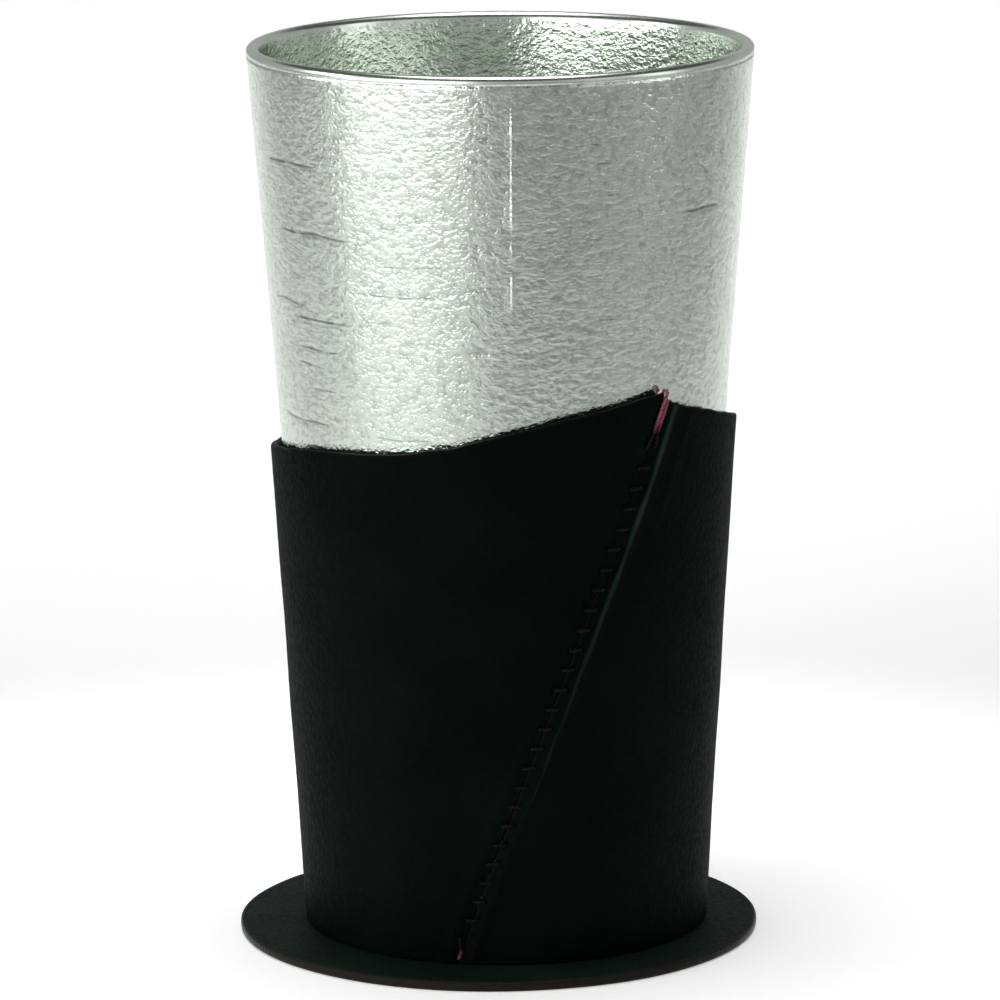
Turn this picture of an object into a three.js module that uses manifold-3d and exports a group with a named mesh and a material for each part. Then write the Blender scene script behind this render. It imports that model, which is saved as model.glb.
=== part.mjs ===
// A cast tin beer tumbler in a sewn leather sleeve, standing on a round leather coaster.
// Millimetres and degrees, +Z up, origin under the middle of the coaster. The seam side faces -Y.
import * as THREE from 'three';
import { mergeVertices } from 'three/addons/utils/BufferGeometryUtils.js';
import Module from 'manifold-3d';

// Cup: a plain cone of cast tin, thinnest at the lip, standing on a ring round a shallow recess.
const RIM_DIAMETER = 76;
const FOOT_DIAMETER = 55;
const CUP_HEIGHT = 134;
const LIP_WALL = 2;
const FOOT_WALL = 2.4;
const FLOOR_THICKNESS = 4;
const FLOOR_FILLET = 9;
const FOOT_ROUND = 1.8;
const FOOT_RING = 4.7;
const RECESS_DEPTH = 0.8;

// Sleeve: one leather panel bent into a cone, its slanting ends sewn edge to edge.
// The top edge runs from a low corner, down round the back and up again to a tip, with a sag in the climb.
const LEATHER = 1.2;
const TIP_HEIGHT = 86;
const CORNER_DROP = 1.6;
const HEM_DROP = 13.1;
const FALL_SHARE = 0.4;
const RISE_SHARE = 0.375;
const RISE_POWER = 1.18;
const SAG_DEPTH = 1.45;
const SAG_SHARE = 0.833;
const SAG_REACH = 0.1;
const CORNER_ROUND = 1.6;
const EDGE_ROUND = 0.5;
const GRIP_CLEARANCE = 0.25;
const FOOT_CLEARANCE = 1.8;

// Seam: its angle goes from +X towards the front, and falls by the sweep between foot and tip.
const SEAM_FOOT_ANGLE = 104;
const SEAM_SWEEP = 57.4;
const SEAM_GAP = 0.3;
const SHOULDER_WIDTH = 2;
const CUT_EDGE = 0.3;
const SKIVE_WIDTH = 2.2;
const SKIVE_RAMP = 1.2;

// Thread: one length, laced up the seam and looped over its top end.
const THREAD_DIAMETER = 0.5;
const THREAD_CLEARANCE = 0.1;
const HOLE_CLEARANCE = 0.22;
const HOLE_SPREAD = 1.6;
const STITCH_PITCH = 3;
const FIRST_STITCH = 4;
const LAST_STITCH = 5;
const STRAND_GAP = 0.16;
const LOOP_FOOT = 3;
const TAIL_END = 0.9;

// Coaster: a leather disc, with the tumbler set down a little to one side of its middle.
const COASTER_DIAMETER = 79;
const COASTER_THICKNESS = 1.6;
const COASTER_ROUND = 0.5;
const STAND_OFF_CENTRE = 1.2;

// Fineness of the facets, and where a rounded edge has its lines of corners.
const TURN_STEPS = 64;
const ROUND_STEPS = 4;
const WRAP_STEPS = 48;
const RISE_STEPS = 10;
const THREAD_SIDES = 6;
const HOLE_SIDES = 6;
const ROUND_SHARES = [0, 0.3, 1];

const rimRadius = RIM_DIAMETER / 2;
const footRadius = FOOT_DIAMETER / 2;
const threadRadius = THREAD_DIAMETER / 2;
const skiveDepth = THREAD_DIAMETER + THREAD_CLEARANCE;
const shoulderDrop = LEATHER - skiveDepth - CUT_EDGE;

const wasm = await Module();
wasm.setup();

function lerp(start, end, share) {
  return start + (end - start) * share;
}

// Drop of a quarter-round edge: 0 where its width begins, 1 at the edge itself.
function quarterRound(distance, width) {
  const share = 1 - THREE.MathUtils.clamp(distance / width, 0, 1);
  return 1 - Math.sqrt(1 - share * share);
}

function weld(geometry) {
  const bare = geometry.clone();
  bare.deleteAttribute('normal');
  bare.deleteAttribute('uv');
  return mergeVertices(bare, 1e-4);
}

function toSolid(geometry) {
  const welded = weld(geometry);
  const vertProperties = new Float32Array(welded.attributes.position.array);
  const triVerts = new Uint32Array(welded.index.array);
  return new wasm.Manifold(new wasm.Mesh({ numProp: 3, vertProperties, triVerts }));
}

function toGeometry(solid) {
  const mesh = solid.getMesh();
  const geometry = new THREE.BufferGeometry();
  geometry.setAttribute('position', new THREE.BufferAttribute(mesh.vertProperties, 3));
  geometry.setIndex(new THREE.BufferAttribute(mesh.triVerts, 1));
  geometry.computeVertexNormals();
  return geometry;
}

function piece(name, geometry, colour, roughness, metalness) {
  const material = new THREE.MeshStandardMaterial({ color: colour, roughness, metalness });
  const mesh = new THREE.Mesh(geometry, material);
  mesh.name = name;
  return mesh;
}

// A profile of radius and height turned about +Z.
function turned(profile) {
  const points = profile.getPoints(ROUND_STEPS);
  return new THREE.LatheGeometry(points, TURN_STEPS).rotateX(Math.PI / 2);
}

function cupRadius(height) {
  return lerp(footRadius, rimRadius, height / CUP_HEIGHT);
}

function cupBore(height) {
  return cupRadius(height) - lerp(FOOT_WALL, LIP_WALL, height / CUP_HEIGHT);
}

function makeCup() {
  const lipRound = LIP_WALL / 2;
  const lipBase = CUP_HEIGHT - lipRound;
  const ringOuter = footRadius - FOOT_ROUND;
  const ringInner = ringOuter - FOOT_RING;
  const floorCorner = cupBore(FLOOR_THICKNESS);
  const fillet = Math.min(FLOOR_FILLET, floorCorner / 2);
  const filletTop = FLOOR_THICKNESS + fillet;
  const profile = new THREE.Path();
  profile.moveTo(0, RECESS_DEPTH);
  profile.lineTo(ringInner - RECESS_DEPTH, RECESS_DEPTH);
  profile.lineTo(ringInner, 0);
  profile.lineTo(ringOuter, 0);
  profile.quadraticCurveTo(footRadius, 0, cupRadius(FOOT_ROUND), FOOT_ROUND);
  profile.lineTo(rimRadius, lipBase);
  profile.absarc(rimRadius - lipRound, lipBase, lipRound, 0, Math.PI, false);
  profile.lineTo(cupBore(filletTop), filletTop);
  profile.quadraticCurveTo(floorCorner, FLOOR_THICKNESS, floorCorner - fillet, FLOOR_THICKNESS);
  profile.lineTo(0, FLOOR_THICKNESS);
  return turned(profile);
}

function makeCoaster() {
  const edge = COASTER_DIAMETER / 2;
  const round = Math.min(COASTER_ROUND, COASTER_THICKNESS / 2);
  const profile = new THREE.Path();
  profile.moveTo(0, 0);
  profile.lineTo(edge - round, 0);
  profile.quadraticCurveTo(edge, 0, edge, round);
  profile.lineTo(edge, COASTER_THICKNESS - round);
  profile.quadraticCurveTo(edge, COASTER_THICKNESS, edge - round, COASTER_THICKNESS);
  profile.lineTo(0, COASTER_THICKNESS);
  return turned(profile);
}

// Flesh side of the sleeve: it grips the cup at the tip's height and stands off it at the foot.
function sleeveBore(height) {
  const foot = footRadius + FOOT_CLEARANCE;
  const grip = cupRadius(TIP_HEIGHT) + GRIP_CLEARANCE;
  return lerp(foot, grip, height / TIP_HEIGHT);
}

// A point beside the seam: "across" runs along the leather towards the panel with the tip, and
// "level" is the distance out from the flesh side.
function besideSeam(across, height, level) {
  const bore = sleeveBore(height);
  const seam = THREE.MathUtils.degToRad(SEAM_FOOT_ANGLE - SEAM_SWEEP * height / TIP_HEIGHT);
  const angle = seam + across / bore;
  const radius = bore + level;
  return new THREE.Vector3(radius * Math.cos(angle), -radius * Math.sin(angle), height);
}

// Cut top edge: "share" is how far round the panel it is, from the low corner to the tip.
function topEdge(share, fromEnd) {
  const fall = Math.max(0, 1 - share / FALL_SHARE) ** 2;
  const rise = THREE.MathUtils.clamp(1 - (1 - share) / RISE_SHARE, 0, 1) ** RISE_POWER;
  const fromSag = THREE.MathUtils.clamp((share - SAG_SHARE) / SAG_REACH, -1, 1);
  const sag = SAG_DEPTH * Math.cos(fromSag * Math.PI / 2) ** 2;
  const wave = (HEM_DROP - CORNER_DROP) * fall + HEM_DROP * rise - sag;
  return TIP_HEIGHT - HEM_DROP + wave - CORNER_ROUND * quarterRound(fromEnd, CORNER_ROUND);
}

// Grain side near a cut end rolls down into the seam, so that the stitches lie in a valley.
function shoulder(fromEnd) {
  return shoulderDrop * quarterRound(fromEnd, SHOULDER_WIDTH);
}

// Flesh side near a cut end is skived away, to leave room for the thread.
function skive(fromEnd) {
  return skiveDepth * (1 - THREE.MathUtils.clamp((fromEnd - SKIVE_WIDTH) / SKIVE_RAMP, 0, 1));
}

// Columns of corners along the panel: at set distances from its cut ends, and evenly in between.
function panelColumns() {
  const ends = ROUND_SHARES.map((share) => share * SHOULDER_WIDTH);
  ends.push(SKIVE_WIDTH, SKIVE_WIDTH + SKIVE_RAMP);
  const low = ends.map((fromEnd) => ({ fromEnd, share: 0 }));
  const tip = ends.map((fromEnd) => ({ fromEnd, share: 1 })).reverse();
  const inner = Array.from({ length: WRAP_STEPS - 1 }, (_, i) => (i + 1) / WRAP_STEPS);
  const margin = SKIVE_WIDTH + SKIVE_RAMP;
  return [...low, ...inner.map((share) => ({ fromEnd: margin, share })), ...tip];
}

// Distance along the leather from the seam to a column, going round from the low corner.
function acrossAt(column, height) {
  const margin = SEAM_GAP / 2 + column.fromEnd;
  const wholeTurn = 2 * Math.PI * sleeveBore(height);
  return lerp(-margin, margin - wholeTurn, column.share);
}

// Rows of corners up the panel: at the roundings of the bottom and top edges, and evenly in between.
function panelRows() {
  const edges = ROUND_SHARES.map((share) => share * EDGE_ROUND);
  const bottom = edges.map((fromEdge) => ({ fromEdge, share: 0 }));
  const top = edges.map((fromEdge) => ({ fromEdge, share: 1 })).reverse();
  const inner = Array.from({ length: RISE_STEPS - 1 }, (_, i) => (i + 1) / RISE_STEPS);
  return [...bottom, ...inner.map((share) => ({ fromEdge: EDGE_ROUND, share })), ...top];
}

// The panel starts as a flat block, whose columns and rows of corners are bent on to the cone.
function makePanel() {
  const columns = panelColumns();
  const rows = panelRows();
  const hem = TIP_HEIGHT - HEM_DROP;
  const hemTurn = 2 * Math.PI * sleeveBore(hem);
  const blank = new THREE.BoxGeometry(1, 1, 1, columns.length - 1, rows.length - 1, 1);
  const corners = blank.attributes.position;
  for (let i = 0; i < corners.count; i += 1) {
    const column = columns[Math.round((corners.getX(i) + 0.5) * (columns.length - 1))];
    const row = rows[Math.round((corners.getY(i) + 0.5) * (rows.length - 1))];
    const top = topEdge(-acrossAt(column, hem) / hemTurn, column.fromEnd);
    const height = lerp(row.fromEdge, top - row.fromEdge, row.share);
    const rounding = EDGE_ROUND * quarterRound(row.fromEdge, EDGE_ROUND);
    const grain = LEATHER - Math.max(shoulder(column.fromEnd), rounding);
    const level = corners.getZ(i) > 0 ? grain : skive(column.fromEnd);
    const bent = besideSeam(acrossAt(column, height), height, level);
    corners.setXYZ(i, bent.x, bent.y, bent.z);
  }
  return blank;
}

// Stitch heights up the seam, the last one a set distance under the notch where the corners meet.
function stitchHeights() {
  const last = topEdge(0, 0) - LAST_STITCH;
  const count = Math.max(2, Math.round((last - FIRST_STITCH) / STITCH_PITCH));
  return Array.from({ length: count + 1 }, (_, i) => lerp(FIRST_STITCH, last, i / count));
}

const holeInset = HOLE_SPREAD / 2;

function makeSleeve() {
  const holeRadius = threadRadius + HOLE_CLEARANCE;
  const holeLength = 2 * (LEATHER + skiveDepth);
  const awl = new THREE.CylinderGeometry(holeRadius, holeRadius, holeLength, HOLE_SIDES);
  const awlAxis = new THREE.Vector3(0, 1, 0);
  let panel = toSolid(makePanel());
  for (const height of stitchHeights()) {
    for (const across of [-holeInset, holeInset]) {
      const middle = besideSeam(across, height, LEATHER / 2);
      const outward = new THREE.Vector3(middle.x, middle.y, 0).normalize();
      const turn = new THREE.Quaternion().setFromUnitVectors(awlAxis, outward);
      const hole = awl.clone().applyQuaternion(turn).translate(middle.x, middle.y, middle.z);
      panel = panel.subtract(toSolid(hole));
    }
  }
  return toGeometry(panel);
}

// Where the thread turns, as distance across the seam, height and level. It starts as a cut tail,
// crosses the valley at each pair of holes, climbs inside to the next pair, and ends in a double
// strand over both corners.
function threadTurns() {
  const grain = LEATHER - shoulder(holeInset - SEAM_GAP / 2) + THREAD_CLEARANCE + threadRadius;
  const flesh = skiveDepth - THREAD_CLEARANCE - threadRadius;
  const heights = stitchHeights();
  const last = heights.pop();
  const strand = (THREAD_DIAMETER + STRAND_GAP) / 2;
  const reach = strand + threadRadius - SEAM_GAP / 2;
  const overCorner = topEdge(0, reach) + THREAD_CLEARANCE + threadRadius;
  const overTip = topEdge(1, reach) + THREAD_CLEARANCE + threadRadius;
  const fork = last + HOLE_SPREAD;
  const turns = [[0, TAIL_END, grain], [0, FIRST_STITCH / 2, grain]];
  heights.forEach((height, i) => {
    if (i > 0) {
      turns.push([-holeInset, height, flesh], [-holeInset, height, grain]);
    }
    turns.push([holeInset, height, grain], [holeInset, height, flesh]);
  });
  turns.push([-holeInset, last, flesh], [-holeInset, last, grain]);
  turns.push([-strand, fork, grain], [-strand, overCorner, grain], [-strand, overCorner, flesh]);
  turns.push([-strand, last + LOOP_FOOT, flesh], [strand, last + LOOP_FOOT, flesh]);
  turns.push([strand, overTip, flesh], [strand, overTip, grain], [strand, fork, grain]);
  turns.push([holeInset, last, grain], [holeInset, last, flesh], [0, last - STITCH_PITCH / 2, flesh]);
  return turns;
}

// Each turn becomes three points, so that the thread bends round it.
function bendTurns(turns) {
  const stations = turns.map((turn) => besideSeam(...turn));
  const points = [stations[0]];
  for (let i = 1; i < stations.length - 1; i += 1) {
    const back = stations[i - 1].clone().sub(stations[i]);
    const ahead = stations[i + 1].clone().sub(stations[i]);
    const room = Math.min(back.length(), ahead.length()) / 2;
    const cut = Math.min(THREAD_DIAMETER, room) * 0.85;
    const before = back.setLength(cut).add(stations[i]);
    const after = ahead.setLength(cut).add(stations[i]);
    const bend = before.clone().add(after).divideScalar(2).lerp(stations[i], 0.5);
    points.push(before, bend, after);
  }
  points.push(stations[stations.length - 1]);
  return points;
}

// A smooth curve that is stepped from point to point, whatever the distance between them.
class LacedCurve extends THREE.CatmullRomCurve3 {
  getUtoTmapping(share) {
    return share;
  }
}

function makeThread() {
  const points = bendTurns(threadTurns());
  const round = new THREE.Shape().absarc(0, 0, threadRadius, 0, 2 * Math.PI, false);
  const options = {
    steps: points.length - 1,
    extrudePath: new LacedCurve(points, false, 'centripetal'),
    curveSegments: THREAD_SIDES / 2,
    bevelEnabled: false,
  };
  return weld(new THREE.ExtrudeGeometry(round, options));
}

const tumbler = new THREE.Group();
tumbler.position.set(STAND_OFF_CENTRE, 0, COASTER_THICKNESS);
tumbler.add(piece('cup', makeCup(), 0xb7c4bc, 0.32, 1));
tumbler.add(piece('sleeve', makeSleeve(), 0x0d1512, 0.62, 0));
tumbler.add(piece('seam_thread', makeThread(), 0x96506a, 0.75, 0));

const group = new THREE.Group();
group.add(piece('coaster', makeCoaster(), 0x16201e, 0.6, 0));
group.add(tumbler);

export default group;
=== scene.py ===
# %% [markdown]
# # A tin beer tumbler in a laced leather sleeve
#
# The real object comes apart into four pieces: a conical cup cast in tin, a black leather sleeve
# that slips over the lower part of the cup, the red thread that laces the sleeve's two slanting
# ends together, and a thin round leather coaster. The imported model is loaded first, as a fixed
# frame. Every piece below is then modelled again with its finish, at the place and size that the
# frame gives, so nothing has to be fitted afterwards.

# %% Load the frame
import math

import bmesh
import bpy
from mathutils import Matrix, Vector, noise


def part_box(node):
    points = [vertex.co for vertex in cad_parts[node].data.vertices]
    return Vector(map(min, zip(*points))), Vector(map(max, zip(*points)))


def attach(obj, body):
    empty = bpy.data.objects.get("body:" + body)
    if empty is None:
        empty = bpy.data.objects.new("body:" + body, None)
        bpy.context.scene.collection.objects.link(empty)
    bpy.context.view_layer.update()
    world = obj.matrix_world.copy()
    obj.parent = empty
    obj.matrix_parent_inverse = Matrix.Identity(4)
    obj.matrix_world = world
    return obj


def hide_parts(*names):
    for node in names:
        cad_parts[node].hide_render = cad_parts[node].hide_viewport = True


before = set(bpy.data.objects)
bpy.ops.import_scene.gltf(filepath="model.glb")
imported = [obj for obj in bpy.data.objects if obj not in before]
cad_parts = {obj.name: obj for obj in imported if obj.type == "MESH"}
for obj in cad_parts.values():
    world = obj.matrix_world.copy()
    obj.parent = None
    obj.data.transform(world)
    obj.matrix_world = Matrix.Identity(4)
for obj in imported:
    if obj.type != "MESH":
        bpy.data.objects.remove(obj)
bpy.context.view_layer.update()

# %% [markdown]
# ## Measure the frame
#
# Blender works in metres, while a tumbler is thought of in millimetres, so a small factor keeps the
# sizes readable. The cup stands a little beside the middle of the coaster. Its axis, its rim and its
# height are read from the frame instead of being typed again.

MM = 0.001
cup_low, cup_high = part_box("cup")
coaster_low, coaster_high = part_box("coaster")
FOOT_CENTRE = Vector(((cup_low.x + cup_high.x) / 2, (cup_low.y + cup_high.y) / 2, cup_low.z))
RIM_RADIUS = (cup_high.x - cup_low.x) / 2
CUP_HEIGHT = cup_high.z - cup_low.z
print("rim radius", RIM_RADIUS, "cup height", CUP_HEIGHT, "foot centre", FOOT_CENTRE)

# %% [markdown]
# ## The camera
#
# A photograph of a cup is easy to get nearly right and hard to get quite right: the rim's ellipse
# gives the angle that the lens looks down, and how much the rim outgrows the foot gives its
# distance. Both were fitted together with the focal length, and the small roll is the one that the
# picture has. Depth of field stays off and nothing is shifted, so other views can use this camera.

# %% Place the camera
CAMERA_DISTANCE = 995.3 * MM
CAMERA_ELEVATION = 11.533
CAMERA_ROLL = -0.416
CAMERA_TARGET = Vector((0.687 * MM, 0, 66.006 * MM))

camera_data = bpy.data.cameras.new("long_lens")
camera_data.sensor_width = 36
camera_data.lens = 237.05
camera = bpy.data.objects.new("long_lens", camera_data)
bpy.context.scene.collection.objects.link(camera)
bpy.context.scene.camera = camera

tilt = math.radians(CAMERA_ELEVATION)
camera_place = CAMERA_TARGET + CAMERA_DISTANCE * Vector((0, -math.cos(tilt), math.sin(tilt)))
turn_up = Matrix.Rotation(math.radians(90) - tilt, 4, "X")
roll = Matrix.Rotation(math.radians(CAMERA_ROLL), 4, "Z")
camera.matrix_world = Matrix.Translation(camera_place) @ turn_up @ roll
print("camera at", camera_place)

# %% [markdown]
# ## A few small helpers
#
# Colours are written as the hex values that a painter would pick on a screen, and Blender wants them
# linear, so one function turns them. A second adds a shader node with its settings and its links,
# whatever kind of node it is. The third makes a finished mesh into an object that rides on its body
# of the frame, stands in for that body's plain solid and gets its material. The last two keep
# a number between 0 and 1, and ease it from one to the other.

# %% Helpers for colours, nodes and finished pieces
def colour(hex_value):
    """An sRGB hex colour such as "C8D4CA" as the linear colour that a shader takes."""
    shares = [int(hex_value[i:i + 2], 16) / 255 for i in (0, 2, 4)]
    return [s / 12.92 if s <= 0.04045 else ((s + 0.055) / 1.055) ** 2.4 for s in shares] + [1]


def add_node(tree, kind, settings=None, inputs=None):
    """Adds a node, sets its properties, and fills its inputs with values or with other nodes' outputs."""
    node = tree.nodes.new(kind)
    for name, value in (settings or {}).items():
        setattr(node, name, value)
    for name, value in (inputs or {}).items():
        if isinstance(value, bpy.types.NodeSocket):
            tree.links.new(value, node.inputs[name])
        else:
            node.inputs[name].default_value = value
    return node


def finish_piece(bm, name, material, body):
    """Makes the mesh a smooth object that rides on a body and replaces the CAD node of its own name."""
    mesh = bpy.data.meshes.new(name)
    bm.to_mesh(mesh)
    bm.free()
    mesh.shade_smooth()
    mesh.materials.append(material)
    piece = bpy.data.objects.new("dressed_" + name, mesh)
    bpy.context.scene.collection.objects.link(piece)
    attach(piece, body)
    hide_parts(name)
    print(piece.name, "has", sum(len(p.vertices) - 2 for p in mesh.polygons), "triangles")
    return piece


def clamp(value):
    return max(0.0, min(1.0, value))


def ease(value):
    """Smooth step from 0 to 1."""
    value = clamp(value)
    return value * value * (3 - 2 * value)


# %% [markdown]
# ## Turning an outline into a round body
#
# The cup and the coaster are both round, so both start as a half outline: a chain of a few corners
# from the axis underneath to the axis on top. The corners are rounded with a vertex bevel, and the
# spin operator turns the chain about the axis, as a lathe would. The spin leaves doubles at the
# poles, which are merged before the normals are recalculated. Long straight stretches are cut into
# rows last, because spinning a chain of a few points is far quicker than spinning hundreds.

# %% Helper for turned bodies
def turned_body(corners, columns, row_size):
    """Spins corners of (radius, height, rounding) about Z; row_size gives the rows' spacing at a point."""
    bm = bmesh.new()
    chain = [bm.verts.new((radius, 0, height)) for radius, height, _ in corners]
    for start, end in zip(chain, chain[1:]):
        bm.edges.new((start, end))
    for vert, (_, _, rounding) in zip(chain, corners):
        if rounding:
            bmesh.ops.bevel(bm, geom=[vert], offset=rounding, segments=6, profile=0.5,
                            affect="VERTICES", material=-1)
    bmesh.ops.spin(bm, geom=bm.verts[:] + bm.edges[:], cent=(0, 0, 0), axis=(0, 0, 1),
                   angle=math.tau, steps=columns, use_merge=True)
    bmesh.ops.remove_doubles(bm, verts=bm.verts[:], dist=0.001 * MM)
    bmesh.ops.recalc_face_normals(bm, faces=bm.faces[:])
    to_cut = {}
    for edge in bm.edges:
        start, end = [Vector((math.hypot(v.co.x, v.co.y), 0, v.co.z)) for v in edge.verts]
        cuts = int(round((end - start).length / row_size((start + end) / 2), 3))
        if cuts and start.x > MM and end.x > MM:
            to_cut.setdefault(cuts, []).append(edge)
    for cuts, edges in to_cut.items():
        bmesh.ops.subdivide_edges(bm, edges=edges, cuts=cuts, use_grid_fill=True)
    return bm


# %% [markdown]
# ## The cup's outline
#
# The cup is cast in one piece, with a wall of about 2 mm, a floor of 4 mm with a large fillet
# inside, and a shallow recess underneath that leaves a foot ring. The lip is a half round that was
# turned smooth after casting, and a fine groove under it shows where the turning tool stopped.
# The rows are closest where the wall shows above the sleeve, because the cast skin is modelled there.

# %% Turn the cup
FOOT_RADIUS = 27.5 * MM
LIP_WALL = 2 * MM
FOOT_WALL = 2.4 * MM
FLOOR_THICKNESS = 4 * MM
FLOOR_FILLET = 9 * MM
FOOT_ROUND = 1.8 * MM
FOOT_RING = 4.7 * MM
RECESS_DEPTH = 0.8 * MM
LIP_GROOVE = 0.16 * MM
GROOVE_HEIGHT = CUP_HEIGHT - 1.35 * MM
SHOWN_FROM = 70 * MM
CUP_COLUMNS = 300


def wall_radius(height):
    return FOOT_RADIUS + (RIM_RADIUS - FOOT_RADIUS) * height / CUP_HEIGHT


def wall_thickness(height):
    return FOOT_WALL + (LIP_WALL - FOOT_WALL) * height / CUP_HEIGHT


def cup_rows(point):
    on_outside = point.x > wall_radius(point.z) - wall_thickness(point.z) / 2
    return 0.4 * MM if on_outside and point.z > SHOWN_FROM else 1.8 * MM


ring_radius = FOOT_RADIUS - FOOT_RING
inside_floor = wall_radius(FLOOR_THICKNESS) - wall_thickness(FLOOR_THICKNESS)
cup_corners = [
    (0, RECESS_DEPTH, 0),
    (ring_radius, RECESS_DEPTH, 0.3 * MM),
    (ring_radius, 0, 0.3 * MM),
    (FOOT_RADIUS, 0, FOOT_ROUND),
    (wall_radius(SHOWN_FROM), SHOWN_FROM, 0),
    (wall_radius(GROOVE_HEIGHT - LIP_GROOVE), GROOVE_HEIGHT - LIP_GROOVE, 0),
    (wall_radius(GROOVE_HEIGHT) - LIP_GROOVE, GROOVE_HEIGHT, 0),
    (wall_radius(GROOVE_HEIGHT + LIP_GROOVE), GROOVE_HEIGHT + LIP_GROOVE, 0),
    (RIM_RADIUS, CUP_HEIGHT, LIP_WALL / 2),
    (RIM_RADIUS - LIP_WALL, CUP_HEIGHT, LIP_WALL / 2),
    (inside_floor, FLOOR_THICKNESS, FLOOR_FILLET),
    (0, FLOOR_THICKNESS, 0),
]
cup = turned_body(cup_corners, CUP_COLUMNS, cup_rows)
print("cup outline turned into", len(cup.faces), "faces")

# %% [markdown]
# ## The cast skin
#
# Molten tin freezes against sand, so the wall is never quite even: it has broad waves, a pebbled
# skin and, where one flow of metal met the next, thin sunken flow lines that run level round the
# cup. Smooth noise gives the waves and the pebbles, the same in every run. The flow lines are too
# few for that, so each is listed with its height, its two ends and its strength. They were placed
# after the real ones, and the back has the same set.

# %% Waves, pebbles and flow lines
BROAD_WAVE = 9 * MM
BROAD_HEIGHT = 0.05 * MM
PEBBLE_SIZE = 2.2 * MM
PEBBLE_HEIGHT = 0.03 * MM
FLOW_LINE_WAVE = 0.4 * MM
FLOW_LINE_TAPER = 0.22
NEAR_LINE = 0.8 * MM
NEAR_LINE_FADE = 0.35 * MM

# Height in mm, the two angles between which a line shows, and its strength.
# An angle of 90 degrees faces the front, and 180 faces left.
FLOW_LINES = [
    (119.1, 135, 162, 1.0), (118.8, 110, 122, 0.4), (111.3, 109, 123, 0.5), (108.8, 126, 157, 1.0),
    (105.6, 102, 122, 0.55), (101.0, 102, 130, 0.6), (98.0, 145, 164, 0.9), (97.0, 114, 127, 0.45),
    (96.0, 126, 154, 0.8), (91.5, 130, 158, 0.8), (89.0, 138, 152, 0.7), (85.6, 134, 147, 0.6),
    (80.2, 136, 166, 0.8), (79.6, 106, 126, 0.55), (112.2, 28, 44, 1.0), (123.5, 66, 71, 0.6),
    (120.6, 64, 69, 0.7), (116.0, 62, 66, 0.6), (104.0, 66, 71, 0.5), (97.6, 61, 68, 0.5),
]
BACK_LINES = [(height, start + 180, end + 180, strength) for height, start, end, strength in FLOW_LINES]


def nearest_line(angle, height):
    """How far a point is above the flow line nearest to it, in metres, and how strongly that line shows."""
    above, strength = NEAR_LINE, 0
    for line, start, end, full in FLOW_LINES + BACK_LINES:
        offset = height - line * MM - FLOW_LINE_WAVE * noise.noise((angle / 8, line, 0))
        if start < angle < end and abs(offset) < abs(above):
            taper = FLOW_LINE_TAPER * (end - start)
            broken = clamp(0.9 + 0.7 * noise.noise((angle / 2.5, line, 7)))
            above = offset
            strength = full * broken * ease((angle - start) / taper) * ease((end - angle) / taper)
    return above, strength * clamp((NEAR_LINE - abs(above)) / NEAR_LINE_FADE)


def cast_relief(place):
    """How far the metal stands proud of the true cone, in metres."""
    broad = noise.noise(place / BROAD_WAVE)
    pebble = noise.noise(place / PEBBLE_SIZE)
    return BROAD_HEIGHT * broad + PEBBLE_HEIGHT * pebble


print("flow lines:", len(FLOW_LINES + BACK_LINES))

# %% [markdown]
# ## Working the skin into the wall
#
# Bump alone would not show the skin along the cup's edges, so the mesh itself is worked: each point
# moves along its radius, and ever less towards the lip and the foot. A broken ridge stands high on
# the wall, where the two halves of the mould met. The ridge and the flow lines are thinner than the
# mesh is fine, so each point also keeps its distance from them as an attribute, and the shader can
# draw them as thin as they are.

# %% Work the skin into the wall
LIP_SMOOTH = 1.8 * MM
LIP_BLEND = 2.5 * MM
FOOT_BLEND = 6 * MM
FLOW_LINE_DEPTH = 0.04 * MM
FLOW_LINE_DIP = 0.5 * MM
PARTING_ANGLE = 87.6
PARTING_WIDTH = 0.5 * MM
PARTING_HEIGHT = 0.2 * MM
PARTING_START = 94 * MM
PARTING_FULL = 102 * MM

offset_layer = cup.verts.layers.float.new("line_offset")
strength_layer = cup.verts.layers.float.new("line_strength")
parting_layer = cup.verts.layers.float.new("parting_offset")
ridge_layer = cup.verts.layers.float.new("parting_strength")
for vert in cup.verts:
    place = vert.co.copy()
    radius = math.hypot(place.x, place.y)
    if radius < FOOT_RADIUS - FOOT_ROUND and place.z < FLOOR_THICKNESS + FLOOR_FILLET:
        continue
    calm = ease((CUP_HEIGHT - LIP_SMOOTH - place.z) / LIP_BLEND) * ease(place.z / FOOT_BLEND)
    proud = cast_relief(place)
    if radius > wall_radius(place.z) - wall_thickness(place.z) / 2:
        angle = math.degrees(math.atan2(-place.y, place.x)) % 360
        above, strength = nearest_line(angle, place.z)
        vert[offset_layer] = above / MM
        vert[strength_layer] = strength * calm
        beside = math.radians(angle - PARTING_ANGLE) * radius
        broken = clamp(0.5 + 1.6 * noise.noise((0, 0, place.z / (4 * MM))))
        broken *= ease((place.z - PARTING_START) / (PARTING_FULL - PARTING_START))
        vert[parting_layer] = beside / MM
        vert[ridge_layer] = broken * calm
        ridge = broken * math.exp(-(beside / PARTING_WIDTH) ** 2)
        dip = strength * math.exp(-(above / FLOW_LINE_DIP) ** 2)
        proud += PARTING_HEIGHT * ridge - FLOW_LINE_DEPTH * dip
    outwards = Vector((place.x, place.y, 0)) / radius
    vert.co = place + outwards * proud * calm

bmesh.ops.translate(cup, vec=FOOT_CENTRE, verts=cup.verts[:])
print("cast skin worked into", len(cup.verts), "points")

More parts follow.
